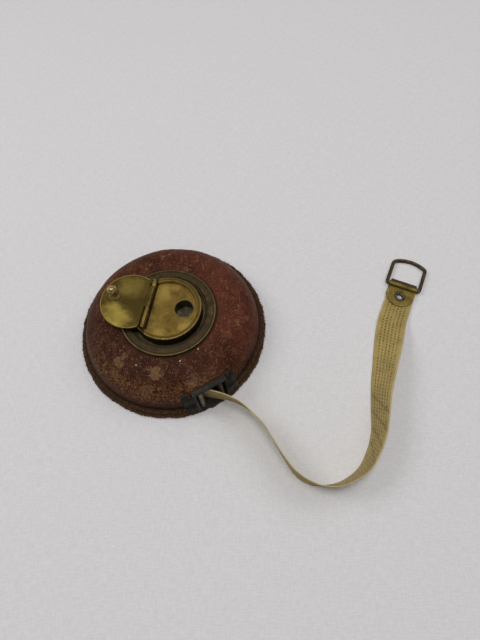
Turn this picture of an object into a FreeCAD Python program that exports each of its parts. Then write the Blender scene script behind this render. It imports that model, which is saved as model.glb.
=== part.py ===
"""Leather-cased winding tape measure with a folding handle.

Millimetres, +Z up. The origin is on the drum's axis, in the plane that the case rests on.
Three local frames are used: the boss frame (turned so that the hinge runs along local Y),
the mouth frame (local X points straight out of the tape's mouth) and the clip frame
(local X runs along the tape's end towards the pull ring, origin at the eyelet).
"""
import FreeCAD, Part
import math
import os

os.makedirs("parts", exist_ok=True)

V = FreeCAD.Vector
UP = V(0, 0, 1)
TINY = 0.02

# ---- case ----------------------------------------------------------------------------
CASE_R = 53.0                # cut edge of the back leather
FLANGE_R = 51.9              # cut edge of the front leather's flange
BACK_T = 2.0                 # thickness of the back leather
FLANGE_T = 2.0
LEATHER_T = 2.0              # thickness of the moulded front leather
CASE_TOP = 21.0              # height of the flat top of the leather
SHOULDER_R = 17.5            # outer radius of the rounded shoulder
SHOULDER_CENTRE_R = 32.0     # distance of the shoulder's arc centre from the axis
GROOVE_R = 48.7              # foot of the wall, inside the stitched flange
STITCH_COUNT = 72
STITCH_RING_R = 50.9
STITCH_LENGTH = 3.0
THREAD_R = 0.4
STITCH_FREE_ANGLE = 22.0     # no stitches this close to the middle of the mouth

# ---- bezel ---------------------------------------------------------------------------
BEZEL_R = 26.2
BEZEL_HOLE_R = 20.1
BEZEL_T = 1.5
COLLAR_R = 20.9
CLAMP_R = 27.0
CLAMP_T = 0.4
STUD_R = 0.8
STUD_RING_R = 23.6
STUD_COUNT = 4

# ---- drum ----------------------------------------------------------------------------
TAPE_W = 15.9                # five-eighths of an inch
COIL_R = 34.0
COIL_Z = 2.3
HUB_R = 16.0
HUB_WALL = 1.2
HUB_Z = 2.5
SLIT_HALF = 0.45             # half the width of the slit in the hub
HUB_TOP = 18.4
WEB_T = 1.0
BUSH_R = 5.0
BUSH_TOP = 13.5
SPINDLE_R = 2.5
RUNNING_GAP = 0.05
SPINDLE_TOP = BUSH_TOP + 0.15
WASHER_R = 4.5
WASHER_T = 0.5
SCREW_R = 1.5
SCREW_DEPTH = 5.0
SCREW_HEAD_R = 3.2
SCREW_HEAD_H = 0.9
SCREW_SLOT_HALF = 0.4
BOSS_R = 18.8
BOSS_TOP = 26.5
BOSS_WALL = 1.2
RECESS_R = 16.4
RECESS_FLOOR = 24.3
BOSS_FLOOR_T = 1.4
BOSS_BASE_T = 1.0
SPIGOT_WALL = 1.35
SPIGOT_Z = 14.4
DRUM_PIN_R = 0.75
DRUM_PIN_Z = 16.4
DRUM_PIN_SINK = 0.05         # how far each pin stays under the hub's outside
ANCHOR_R = 0.8
ANCHOR_RING_R = 12.6
TAPE_LOOP_T = 0.5

# ---- folding handle (boss frame) ------------------------------------------------------
BOSS_TURN = -14.0            # direction of the boss frame's X axis, degrees
HINGE_X = -9.8
HINGE_Z = 27.0
HINGE_Y = (-13.9, 15.3)      # ends of the hinge's barrel
BARREL_R = 1.25
HINGE_PIN_R = 0.65
HINGE_SPLIT = (-2.1, 11.0)   # ends of the flap's knuckle
KNUCKLE_GAP = 0.12
CHANNEL = 1.6                # half width of the channel that the barrel lies in
CHANNEL_END_WALL = 0.5
FLAP_R = 16.1
FLAP_T = 1.0
FLAP_EDGE = 1.7              # from the hinge's axis to the flap's straight edge
FLAP_CORNER_R = 2.4
DISH_DEPTH = 0.4
DISH_SPHERE_R = 250.0
KNOB_REACH = 18.85           # from the hinge's axis to the knob
KNOB_Y = 1.8
KNOB_H = 7.0
KNOB_GAP = 0.03              # between the flap and the knob's foot
KNOB_BASE_R = 3.15
KNOB_SEAT_GAP = 0.35         # between the knob's foot and the flat seat's edge
KNOB_WAIST_R = 1.9
KNOB_TOP_R = 2.55
POST_R = 1.0
POST_HEAD_R = 1.6
POST_HEAD_H = 1.15
POCKET_R = 4.95
POCKET_WALL = 0.4
POCKET_FLOOR = 17.0

# ---- back fittings ---------------------------------------------------------------------
BACK_PLATE_R = 13.0
BACK_PLATE_Z = (0.1, 0.85)
BACK_RECESS = 0.85
INNER_PLATE_R = 12.0
INNER_PLATE_T = 0.3
BACK_RIVET_R = 0.8
BACK_RIVET_RING_R = 9.5
BACK_RIVET_COUNT = 3

# ---- mouth (mouth frame) ---------------------------------------------------------------
MOUTH_TURN = -65.0
MOUTH_TOP = 19.5
MOUTH_ROOF_T = 0.9
MOUTH_RIVET_R = 0.8
MOUTH_RIVET_AT = (44.5, 5.0)  # out from the axis, and to each side
MOUTH_HALF = 8.1             # half the width of the opening
MOUTH_WALL = 1.6
MOUTH_FRONT_TOP = 49.0       # how far out the front is at the roof and at the floor
MOUTH_FRONT_FOOT = 51.6
MOUTH_BACK = 38.8
MOUTH_WALL_BACK = 43.6
FLOOR_Z = (0.7, 1.4)
FLOOR_BACK = 42.0
HOOD_BACK = 30.0
HOOD_FRONT = 46.8            # the leather over the roof ends here
HOOD_HALF = 11.5
HOOD_TOP = 20.9
HOOD_ROUND = 2.6
EAR_HALF = 15.5
EAR_T = 0.9
EAR_Z = (4.0, 14.8)
EAR_ROUND = 3.4
EAR_FOOT_R = 52.5
ROLLER_R = 1.8
ROLLER_T = 5.8               # sideways distance of each roller from the middle
ROLLER_SETBACK = 2.3
ROLLER_PIN_R = 0.7
ROLLER_Z = (1.9, 17.8)

# ---- free tape -------------------------------------------------------------------------
# The tape's middle line, from where it leaves the coil to inside the clip: x, y, z and how
# far the tape leans from standing on edge, in degrees.
TAPE_ROUTE = [
    (-8.5, -33.6, 10.2, 0), (4.5, -38.4, 10.2, 0), (19.0, -44.0, 10.0, 2),
    (30.0, -46.8, 9.5, 7), (39.5, -53.0, 8.7, 11), (47.5, -63.5, 8.2, 10),
    (53.7, -77.0, 8.1, 5), (60.5, -89.5, 8.1, 3), (74.0, -95.5, 8.1, 8),
    (90.0, -91.5, 7.9, 14), (100.5, -80.0, 7.8, 15), (105.5, -66.5, 7.6, 20),
    (109.0, -51.0, 7.2, 29), (114.3, -36.0, 6.2, 43), (119.8, -21.5, 4.0, 63),
    (125.0, -7.5, 1.85, 84), (128.9, -0.4, 0.95, 90), (135.1, 11.7, 0.95, 90),
]
TAPE_T = 0.5
ARC_SHARE = 0.45             # share of the shorter run that a bend's arc uses up

# ---- clip and pull ring (clip frame) -----------------------------------------------------
EYELET_AT = V(133.1, 8.3, 0)
CLIP_TURN = 62.5
CLIP_HALF = 8.1
CLIP_T = 0.6
TAPE_SLOT = 0.7              # height of the slot between the clip's leaves
CLIP_ROUND_X = 1.6           # centre of the clip's rounded end
ROLL_X = 7.1                 # axis of the roll that holds the ring
RING_WIRE_R = 1.05
ROLL_R = RING_WIRE_R + 0.1 + CLIP_T
STOP_BAR_AT = (9.79, 1.2)    # along the clip, and height
STOP_BAR_R = 1.0
STOP_BAR_HALF = 7.6
RING_HALF = 9.6              # to the middle of the wire
RING_DEPTH = 16.1            # from the roll to where the bowed side would meet the sides
RING_CROWN = 2.9             # how far the outer side bows beyond that
RING_FOOT_R = 1.5            # corners beside the roll
RING_CORNER_R = 2.6          # corners at the bowed side
EYELET_R = 2.1
EYELET_FLANGE_R = 3.4


def save(name, shape):
    """Write one node and print what it holds."""
    shape.exportStep("parts/" + name + ".step")
    solids = len(shape.Solids)
    print("%-18s solids %3d  volume %9.2f  valid %s" % (name, solids, shape.Volume, shape.isValid()))


def tube(outer, inner, low, high):
    """A round tube about the Z axis."""
    body = Part.makeCylinder(outer, high - low, V(0, 0, low))
    if inner <= 0:
        return body
    return body.cut(Part.makeCylinder(inner, high - low + 2, V(0, 0, low - 1)))


def block(low, high):
    """A box between two corners."""
    size = V(*high).sub(V(*low))
    return Part.makeBox(size.x, size.y, size.z, V(*low))


def turned(edges):
    """A solid of revolution about Z from a closed outline in the XZ plane."""
    return Part.Face(Part.Wire(edges)).revolve(V(0, 0, 0), UP, 360)


def line(a, b):
    """A straight edge of an outline, from (radius, height) to (radius, height)."""
    return Part.makeLine(V(a[0], 0, a[1]), V(b[0], 0, b[1]))


def arc(a, middle, b):
    """A round edge of an outline through three (radius, height) points."""
    return Part.Arc(V(a[0], 0, a[1]), V(middle[0], 0, middle[1]), V(b[0], 0, b[1])).toShape()


def outline(points):
    """The straight edges that join the points and close on the first."""
    return [line(a, b) for a, b in zip(points, points[1:] + points[:1])]


def ring_of(shape, count, start=0.0):
    """Copies of a shape, evenly round the Z axis."""
    copies = []
    for index in range(count):
        copy = shape.copy()
        copy.rotate(V(0, 0, 0), UP, start + 360.0 * index / count)
        copies.append(copy)
    return copies


def in_boss_frame(shape):
    shape.rotate(V(0, 0, 0), UP, BOSS_TURN)
    return shape


def in_mouth_frame(shape):
    shape.rotate(V(0, 0, 0), UP, MOUTH_TURN)
    return shape


def in_clip_frame(shape):
    shape.rotate(V(0, 0, 0), UP, CLIP_TURN)
    shape.translate(EYELET_AT)
    return shape


# ---- leather -----------------------------------------------------------------------------
def shoulder_point(radius, angle):
    """A point on the shoulder's arc; 0 degrees is the widest point and 90 the top."""
    centre_z = CASE_TOP - SHOULDER_R
    turn = math.radians(angle)
    return (SHOULDER_CENTRE_R + radius * math.cos(turn), centre_z + radius * math.sin(turn))


def dome_outline(skin):
    """The outside of the moulded front, raised by skin, down to the axis and the base."""
    radius = SHOULDER_R + skin
    foot = shoulder_point(radius, 0)
    crown = shoulder_point(radius, 90)
    return [arc(foot, shoulder_point(radius, 45), crown), line(crown, (0, crown[1])),
            line((0, crown[1]), (0, 0)), line((0, 0), (foot[0], 0)), line((foot[0], 0), foot)]


def stud_holes():
    stud = Part.makeCylinder(STUD_R, CASE_TOP + 5, V(STUD_RING_R, 0, 0))
    return ring_of(stud, STUD_COUNT, 45.0)


def mouth_cutter():
    """The space taken out of the leather for the mouth and for the tape on its way to it."""
    reach = CASE_R + 5
    half = MOUTH_HALF + MOUTH_WALL
    gap = in_mouth_frame(block((MOUTH_BACK - 0.2, -half, BACK_T - 1), (reach, half, MOUTH_TOP)))
    start, end = V(*TAPE_ROUTE[0][:3]), V(*TAPE_ROUTE[2][:3])
    along = end.sub(start)
    way = block((-6, -1.0, BACK_T), (along.Length, 1.0, COIL_Z + TAPE_W + 0.25))
    way.rotate(V(0, 0, 0), UP, math.degrees(math.atan2(along.y, along.x)))
    way.translate(V(start.x, start.y, 0))
    return gap.fuse(way)


def mouth_hood():
    """Leather raised over the roof of the mouth, rounded along its upper edges."""
    hood = block((HOOD_BACK, -HOOD_HALF, BACK_T + FLANGE_T), (HOOD_FRONT, HOOD_HALF, HOOD_TOP))
    upper = [edge for edge in hood.Edges
             if edge.BoundBox.ZMin > HOOD_TOP - TINY and edge.BoundBox.XMax > HOOD_FRONT - TINY]
    hood = hood.makeFillet(HOOD_ROUND, upper)
    return in_mouth_frame(hood.cut(turned(dome_outline(-LEATHER_T))))


def front_cover():
    """Moulded front leather: flat top, rounded shoulder, wall, and the flange turned out."""
    flange_top = BACK_T + FLANGE_T
    inner_r = SHOULDER_R - LEATHER_T
    wall = shoulder_point(SHOULDER_R, 7.5)
    top_out = shoulder_point(SHOULDER_R, 90)
    top_in = shoulder_point(inner_r, 90)
    foot_in = shoulder_point(inner_r, 0)
    edges = [
        line((foot_in[0], BACK_T), (FLANGE_R, BACK_T)),
        line((FLANGE_R, BACK_T), (FLANGE_R, flange_top)),
        line((FLANGE_R, flange_top), (GROOVE_R + 1.1, flange_top)),
        line((GROOVE_R + 1.1, flange_top), (GROOVE_R, flange_top + 0.4)),
        line((GROOVE_R, flange_top + 0.4), (GROOVE_R, flange_top + 0.9)),
        line((GROOVE_R, flange_top + 0.9), wall),
        arc(wall, shoulder_point(SHOULDER_R, 48), top_out),
        line(top_out, (COLLAR_R, CASE_TOP)),
        line((COLLAR_R, CASE_TOP), (COLLAR_R, top_in[1])),
        line((COLLAR_R, top_in[1]), top_in),
        arc(top_in, shoulder_point(inner_r, 45), foot_in),
        line(foot_in, (foot_in[0], BACK_T)),
    ]
    shell = turned(edges).fuse(mouth_hood()).cut(mouth_cutter()).cut(in_mouth_frame(ears()))
    for hole in stud_holes():
        shell = shell.cut(hole)
    return max(shell.Solids, key=lambda solid: solid.Volume)


def back_rivet_places():
    rivet = Part.makeCylinder(BACK_RIVET_R, BACK_T + INNER_PLATE_T - 0.3, V(BACK_RIVET_RING_R, 0, 0.3))
    return ring_of(rivet, BACK_RIVET_COUNT, 30.0)


def mouth_rivet_places():
    rivets = []
    for side in (-1, 1):
        place = V(MOUTH_RIVET_AT[0], side * MOUTH_RIVET_AT[1], 0.2)
        rivet = Part.makeCylinder(MOUTH_RIVET_R, FLOOR_Z[1] - 0.2, place)
        rivets.append(in_mouth_frame(rivet))
    return rivets


def back_cover():
    """Flat back leather with a shallow seat for the back plate and for the mouth's floor."""
    edges = outline([
        (SPINDLE_R, BACK_RECESS), (BACK_PLATE_R + 0.3, BACK_RECESS), (BACK_PLATE_R + 0.3, 0),
        (CASE_R - 0.5, 0), (CASE_R, 0.5), (CASE_R, BACK_T), (SPINDLE_R, BACK_T)])
    disc = turned(edges)
    half = MOUTH_HALF + MOUTH_WALL
    seat = in_mouth_frame(block((FLOOR_BACK, -half, FLOOR_Z[0]), (CASE_R + 5, half, BACK_T + 1)))
    disc = disc.cut(seat)
    for pin in back_rivet_places() + mouth_rivet_places():
        disc = disc.cut(pin)
    return disc


def rim_stitches():
    """Half-round stitches of waxed thread lying on the flange, clear of the mouth."""
    flange_top = BACK_T + FLANGE_T
    start = V(STITCH_RING_R, -STITCH_LENGTH / 2, flange_top)
    thread = Part.makeCylinder(THREAD_R, STITCH_LENGTH, start, V(0, 1, 0))
    half = thread.common(block((0, -9, flange_top), (CASE_R, 9, flange_top + 2)))
    stitches = []
    for index in range(STITCH_COUNT):
        angle = 360.0 * index / STITCH_COUNT
        off_mouth = (angle - MOUTH_TURN + 180) % 360 - 180
        if abs(off_mouth) < STITCH_FREE_ANGLE:
            continue
        stitch = half.copy()
        stitch.rotate(V(0, 0, 0), UP, angle)
        stitches.append(stitch)
    return Part.makeCompound(stitches)


# ---- bezel -------------------------------------------------------------------------------
def bezel_ring():
    """Brass ring on the leather: rolled outer lip, flat face, and a collar down the hole."""
    top = CASE_TOP + BEZEL_T
    foot = CASE_TOP - LEATHER_T - CLAMP_T
    edges = [
        line((BEZEL_HOLE_R, foot), (COLLAR_R, foot)), line((COLLAR_R, foot), (COLLAR_R, CASE_TOP)),
        line((COLLAR_R, CASE_TOP), (BEZEL_R, CASE_TOP)),
        line((BEZEL_R, CASE_TOP), (BEZEL_R, top - 0.6)),
        arc((BEZEL_R, top - 0.6), (BEZEL_R - 0.18, top - 0.18), (BEZEL_R - 0.6, top)),
        line((BEZEL_R - 0.6, top), (BEZEL_R - 1.2, top)),
        line((BEZEL_R - 1.2, top), (BEZEL_R - 1.6, top - 0.3)),
        line((BEZEL_R - 1.6, top - 0.3), (BEZEL_HOLE_R + 1.4, top - 0.3)),
        line((BEZEL_HOLE_R + 1.4, top - 0.3), (BEZEL_HOLE_R + 1.0, top - 0.7)),
        line((BEZEL_HOLE_R + 1.0, top - 0.7), (BEZEL_HOLE_R, top - 0.7)),
        line((BEZEL_HOLE_R, top - 0.7), (BEZEL_HOLE_R, foot)),
    ]
    return turned(edges)


def bezel_clamp_ring():
    low = CASE_TOP - LEATHER_T - CLAMP_T
    ring = tube(CLAMP_R, COLLAR_R, low, low + CLAMP_T)
    for hole in stud_holes():
        ring = ring.cut(hole)
    return ring


def bezel_studs():
    low = CASE_TOP - LEATHER_T - CLAMP_T
    stud = Part.makeCylinder(STUD_R, LEATHER_T + CLAMP_T, V(STUD_RING_R, 0, low))
    return Part.makeCompound(ring_of(stud, STUD_COUNT, 45.0))


# ---- drum --------------------------------------------------------------------------------
def drum_pin_places():
    length = HUB_WALL + SPIGOT_WALL
    pin = Part.makeCylinder(DRUM_PIN_R, length - DRUM_PIN_SINK, V(HUB_R - length, 0, DRUM_PIN_Z), V(1, 0, 0))
    return [in_boss_frame(copy) for copy in ring_of(pin, 3, 60.0)]


def hub():
    """Spool: a tube with a web at its foot, and a slit for the tape's inner end."""
    wall = tube(HUB_R, HUB_R - HUB_WALL, HUB_Z, HUB_TOP)
    web = tube(HUB_R - HUB_WALL, BUSH_R, HUB_Z, HUB_Z + WEB_T)
    slit = block((-SLIT_HALF, ANCHOR_RING_R, HUB_Z + WEB_T), (SLIT_HALF, HUB_R + 1, SPIGOT_Z))
    body = wall.fuse(web).cut(slit)
    for pin in drum_pin_places():
        body = body.cut(pin)
    return body.removeSplitter()


def tape_coil():
    """The wound tape as one solid, with its inner end led through the slit and round a pin."""
    coil = tube(COIL_R, HUB_R, COIL_Z, COIL_Z + TAPE_W)
    low, high = HUB_Z + WEB_T + 0.3, SPIGOT_Z - 0.4
    half = TAPE_LOOP_T / 2
    tail = block((-half, ANCHOR_RING_R, low), (half, HUB_R + 1, high))
    loop = Part.makeCylinder(ANCHOR_R + TAPE_LOOP_T, high - low, V(0, ANCHOR_RING_R, low))
    bore = Part.makeCylinder(ANCHOR_R, high - low + 2, V(0, ANCHOR_RING_R, low - 1))
    return coil.fuse(tail).fuse(loop).cut(bore).removeSplitter()


def tape_anchor():
    low = HUB_Z + WEB_T
    return Part.makeCylinder(ANCHOR_R, SPIGOT_Z - 0.2 - low, V(0, ANCHOR_RING_R, low))


def pocket_cylinder(radius, low, high):
    return Part.makeCylinder(radius, high - low, V(HINGE_X + KNOB_REACH, KNOB_Y, low))


def knuckle_spans():
    """Where the short knuckle, the flap's knuckle and the long knuckle lie along the hinge."""
    return ((HINGE_SPLIT[1], HINGE_Y[1]), (HINGE_SPLIT[0] + KNUCKLE_GAP, HINGE_SPLIT[1] - KNUCKLE_GAP),
            (HINGE_Y[0], HINGE_SPLIT[0]))


def hinge_cylinder(radius, span):
    return Part.makeCylinder(radius, span[1] - span[0], V(HINGE_X, span[0], HINGE_Z), V(0, 1, 0))


def winding_boss():
    """Turned brass cup that stands out of the bezel and carries the folding handle."""
    shoulder = BOSS_TOP - 0.5
    spigot_r = HUB_R - HUB_WALL
    floor_low = RECESS_FLOOR - BOSS_FLOOR_T
    base_top = HUB_TOP + BOSS_BASE_T
    inner = spigot_r - SPIGOT_WALL
    hollow_r = BOSS_R - BOSS_WALL
    edges = [
        line((inner, SPIGOT_Z), (spigot_r, SPIGOT_Z)), line((spigot_r, SPIGOT_Z), (spigot_r, HUB_TOP)),
        line((spigot_r, HUB_TOP), (BOSS_R, HUB_TOP)), line((BOSS_R, HUB_TOP), (BOSS_R, shoulder)),
        arc((BOSS_R, shoulder), (BOSS_R - 0.15, BOSS_TOP - 0.15), (BOSS_R - 0.5, BOSS_TOP)),
        line((BOSS_R - 0.5, BOSS_TOP), (0, BOSS_TOP)), line((0, BOSS_TOP), (0, floor_low)),
        line((0, floor_low), (hollow_r, floor_low)), line((hollow_r, floor_low), (hollow_r, base_top)),
        line((hollow_r, base_top), (inner, base_top)), line((inner, base_top), (inner, SPIGOT_Z)),
    ]
    body = turned(edges)
    recess = Part.makeCylinder(RECESS_R, 5, V(0, 0, RECESS_FLOOR))
    recess = recess.common(block((HINGE_X - CHANNEL, -30, 0), (30, 30, 40)))
    channel = block((HINGE_X - CHANNEL, HINGE_Y[0], RECESS_FLOOR), (HINGE_X + CHANNEL, HINGE_Y[1], 40))
    channel = channel.common(Part.makeCylinder(BOSS_R - CHANNEL_END_WALL, 40))
    body = body.cut(recess.fuse(channel))
    upper, _, lower = knuckle_spans()
    for span in (upper, lower):
        low, high = RECESS_FLOOR - TINY, HINGE_Z
        web = block((HINGE_X - BARREL_R, span[0], low), (HINGE_X + BARREL_R, span[1], high))
        body = body.fuse(hinge_cylinder(BARREL_R, span)).fuse(web)
    body = body.cut(hinge_cylinder(HINGE_PIN_R, (-BOSS_R, BOSS_R)))
    body = body.cut(pocket_cylinder(POCKET_R + POCKET_WALL, SPIGOT_Z - 1, RECESS_FLOOR))
    body = in_boss_frame(body.removeSplitter())
    for pin in drum_pin_places():
        body = body.cut(pin)
    return body


def knob_pocket():
    """Thin cup under the boss's floor that takes the knob when the handle is shut."""
    outer = pocket_cylinder(POCKET_R + POCKET_WALL, POCKET_FLOOR - POCKET_WALL, RECESS_FLOOR)
    return in_boss_frame(outer.cut(pocket_cylinder(POCKET_R, POCKET_FLOOR, RECESS_FLOOR + 1)))


def hinge_pin():
    return in_boss_frame(hinge_cylinder(HINGE_PIN_R, (HINGE_Y[0] + 0.1, HINGE_Y[1] - 0.1)))


def flap_z():
    """Underside and top of the opened flap: the mirror image of the shut one about the hinge."""
    low = 2 * HINGE_Z - BOSS_TOP
    return low, low + FLAP_T


def handle_flap():
    """D-shaped plate, opened flat; dished on the side that carries the knob."""
    low, high = flap_z()
    centre_x = 2 * HINGE_X
    edge_x = HINGE_X - FLAP_EDGE
    plate = Part.makeCylinder(FLAP_R, FLAP_T, V(centre_x, 0, low))
    plate = plate.common(block((-60, -30, low - 1), (edge_x, 30, high + 1)))
    corners = [edge for edge in plate.Edges
               if abs(edge.Vertexes[0].X - edge_x) < TINY and abs(edge.Vertexes[-1].X - edge_x) < TINY
               and edge.Length < FLAP_T + TINY]
    plate = plate.makeFillet(FLAP_CORNER_R, corners)
    dish = Part.makeSphere(DISH_SPHERE_R, V(centre_x, 0, high + DISH_SPHERE_R - DISH_DEPTH))
    plate = plate.cut(dish)
    seat_at = V(HINGE_X - KNOB_REACH, KNOB_Y, high - DISH_DEPTH)
    plate = plate.cut(Part.makeCylinder(KNOB_BASE_R + KNOB_SEAT_GAP, FLAP_T, seat_at))
    _, span, _ = knuckle_spans()
    tab = block((edge_x - 1.5, span[0], low), (HINGE_X, span[1], high - DISH_DEPTH))
    plate = plate.fuse(tab).fuse(hinge_cylinder(BARREL_R, span))
    plate = plate.cut(hinge_cylinder(HINGE_PIN_R + RUNNING_GAP, (-BOSS_R, BOSS_R)))
    plate = plate.cut(Part.makeCylinder(POST_R, 4, V(HINGE_X - KNOB_REACH, KNOB_Y, low - 1)))
    return in_boss_frame(plate.removeSplitter())


def at_knob(shape):
    shape.translate(V(HINGE_X - KNOB_REACH, KNOB_Y, flap_z()[1] - DISH_DEPTH + KNOB_GAP))
    return in_boss_frame(shape)


def knob():
    """Waisted knob with a foot flange and a dished top, turning on its post."""
    bore = POST_R + RUNNING_GAP
    waist = (KNOB_WAIST_R, 0.52 * KNOB_H)
    edges = [
        line((bore, 0), (KNOB_BASE_R, 0)), line((KNOB_BASE_R, 0), (KNOB_BASE_R, 0.7)),
        line((KNOB_BASE_R, 0.7), (KNOB_BASE_R - 0.5, 1.2)),
        arc((KNOB_BASE_R - 0.5, 1.2), (KNOB_WAIST_R + 0.15, 0.33 * KNOB_H), waist),
        arc(waist, (KNOB_WAIST_R + 0.12, 0.72 * KNOB_H), (KNOB_TOP_R, KNOB_H - 0.9)),
        line((KNOB_TOP_R, KNOB_H - 0.9), (KNOB_TOP_R, KNOB_H - 0.25)),
        line((KNOB_TOP_R, KNOB_H - 0.25), (KNOB_TOP_R - 0.25, KNOB_H)),
        line((KNOB_TOP_R - 0.25, KNOB_H), (POST_HEAD_R + 0.2, KNOB_H - 0.3)),
        line((POST_HEAD_R + 0.2, KNOB_H - 0.3), (bore, KNOB_H - 0.3)),
        line((bore, KNOB_H - 0.3), (bore, 0)),
    ]
    return at_knob(turned(edges))


def knob_post():
    """Rivet that the knob turns on, with a domed head."""
    foot = -(FLAP_T - DISH_DEPTH + KNOB_GAP)
    seat = KNOB_H - 0.25
    shank = Part.makeCylinder(POST_R, seat - foot, V(0, 0, foot))
    dome_r = (POST_HEAD_R ** 2 + POST_HEAD_H ** 2) / (2 * POST_HEAD_H)
    dome = Part.makeSphere(dome_r, V(0, 0, seat + POST_HEAD_H - dome_r))
    head = dome.common(block((-dome_r, -dome_r, seat), (dome_r, dome_r, seat + dome_r)))
    return at_knob(shank.fuse(head))


# ---- back fittings -------------------------------------------------------------------------
def back_plate():
    low, high = BACK_PLATE_Z
    plate = tube(BACK_PLATE_R, SPINDLE_R, low, high)
    for rivet in back_rivet_places():
        plate = plate.cut(rivet)
    return plate


def inner_plate():
    plate = tube(INNER_PLATE_R, SPINDLE_R, BACK_T, BACK_T + INNER_PLATE_T)
    for rivet in back_rivet_places():
        plate = plate.cut(rivet)
    return plate


def spindle():
    post = Part.makeCylinder(SPINDLE_R, SPINDLE_TOP - 0.2, V(0, 0, 0.2))
    return post.cut(Part.makeCylinder(SCREW_R, SCREW_DEPTH + 1, V(0, 0, SPINDLE_TOP - SCREW_DEPTH)))


def spindle_washer():
    return tube(WASHER_R, SCREW_R, SPINDLE_TOP, SPINDLE_TOP + WASHER_T)


def spindle_screw():
    """Slotted cheese-head screw that keeps the drum on its spindle."""
    head_low = SPINDLE_TOP + WASHER_T
    shank = Part.makeCylinder(SCREW_R, SCREW_DEPTH + WASHER_T, V(0, 0, SPINDLE_TOP - SCREW_DEPTH))
    head = Part.makeCylinder(SCREW_HEAD_R, SCREW_HEAD_H, V(0, 0, head_low))
    slot = block((-4, -SCREW_SLOT_HALF, head_low + SCREW_HEAD_H / 2), (4, SCREW_SLOT_HALF, head_low + 2))
    return shank.fuse(head).cut(slot).removeSplitter()


# ---- mouth ---------------------------------------------------------------------------------
def front_at(height):
    """How far out the sloping front of the mouth is at a height."""
    share = (MOUTH_TOP - height) / (MOUTH_TOP - FLOOR_Z[1])
    return MOUTH_FRONT_TOP + share * (MOUTH_FRONT_FOOT - MOUTH_FRONT_TOP)


def side_plate(low_y, high_y):
    """A side wall of the mouth, with a gently bowed front edge."""
    top, foot = MOUTH_TOP, FLOOR_Z[0]
    middle = (top + foot) / 2
    front_top, front_foot = (front_at(top), top), (front_at(foot), foot)
    edges = [
        line((MOUTH_WALL_BACK, foot), front_foot),
        arc(front_foot, (front_at(middle) + 0.7, middle), front_top),
        line(front_top, (MOUTH_WALL_BACK, top)), line((MOUTH_WALL_BACK, top), (MOUTH_WALL_BACK, foot))]
    face = Part.Face(Part.Wire(edges))
    face.translate(V(0, low_y, 0))
    return face.extrude(V(0, high_y - low_y, 0))


def ears():
    """Curved plates that hug the leather on both sides of the opening, with feet on the flange."""
    skin = turned(dome_outline(EAR_T)).cut(turned(dome_outline(0.0)))
    low, high = EAR_Z
    slab = block((MOUTH_BACK, -EAR_HALF, low), (CASE_R, EAR_HALF, high))
    upper = [edge for edge in slab.Edges
             if edge.BoundBox.ZMin > high - TINY and edge.BoundBox.XMax - edge.BoundBox.XMin > 1]
    plates = skin.common(slab.makeFillet(EAR_ROUND, upper))
    foot = tube(EAR_FOOT_R, GROOVE_R, low, low + EAR_T).common(slab)
    inner_half = MOUTH_HALF + MOUTH_WALL - 0.4
    return plates.fuse(foot).cut(block((0, -inner_half, 0), (CASE_R + 9, inner_half, 40)))


def roller_line(side):
    """Foot and head of a roller's axis, in the mouth frame."""
    low, high = FLOOR_Z[0], MOUTH_TOP
    return (V(front_at(low) - ROLLER_SETBACK, side * ROLLER_T, low),
            V(front_at(high) - ROLLER_SETBACK, side * ROLLER_T, high))


def on_roller(side, radius, low, high):
    """A cylinder about a roller's axis, between two heights on that axis."""
    foot, head = roller_line(side)
    way = head.sub(foot)
    start = foot + way * ((low - foot.z) / way.z)
    length = way.Length * (high - low) / way.z
    return Part.makeCylinder(radius, length, start, way)


def mouth_frame():
    """Blackened frame: roof, floor, two side walls and the ears."""
    roof_low = MOUTH_TOP - MOUTH_ROOF_T
    half = MOUTH_HALF + MOUTH_WALL
    roof = block((MOUTH_BACK, -half, roof_low), (MOUTH_FRONT_TOP, half, MOUTH_TOP))
    lip = Part.makeCylinder(MOUTH_ROOF_T * 0.75, 2 * half, V(MOUTH_FRONT_TOP - 0.3, -half, MOUTH_TOP - 0.62),
                            V(0, 1, 0))
    floor = block((FLOOR_BACK, -half, FLOOR_Z[0]), (front_at(FLOOR_Z[0]), half, FLOOR_Z[1]))
    body = roof.fuse([lip, floor, side_plate(-half, -MOUTH_HALF), side_plate(MOUTH_HALF, half), ears()])
    for side in (-1, 1):
        body = body.cut(on_roller(side, ROLLER_PIN_R, 0, 22))
    body = in_mouth_frame(body.removeSplitter())
    for rivet in mouth_rivet_places():
        body = body.cut(rivet)
    return max(body.Solids, key=lambda solid: solid.Volume)


def roller(side):
    barrel = on_roller(side, ROLLER_R, *ROLLER_Z)
    return in_mouth_frame(barrel.cut(on_roller(side, ROLLER_PIN_R + RUNNING_GAP, 0, 22)))


def roller_pin(side):
    pin = on_roller(side, ROLLER_PIN_R, FLOOR_Z[0] + 0.15, MOUTH_TOP - 0.1)
    return in_mouth_frame(pin)


# ---- free tape -------------------------------------------------------------------------------
def bends(points):
    """For each inner point of the route: where its arc starts, its middle, its end and its radius."""
    found = []
    for before, corner, after in zip(points, points[1:], points[2:]):
        inward, outward = corner.sub(before), after.sub(corner)
        reach = ARC_SHARE * min(inward.Length, outward.Length)
        half_turn = inward.getAngle(outward) / 2
        radius = reach / math.tan(half_turn)
        start = corner - inward.normalize() * reach
        end = corner + outward.normalize() * reach
        to_centre = (start + end) * 0.5 - corner
        centre = corner + to_centre.normalize() * (radius / math.cos(half_turn))
        middle = centre + (corner - centre).normalize() * radius
        found.append((start, middle, end, radius))
    return found


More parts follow.
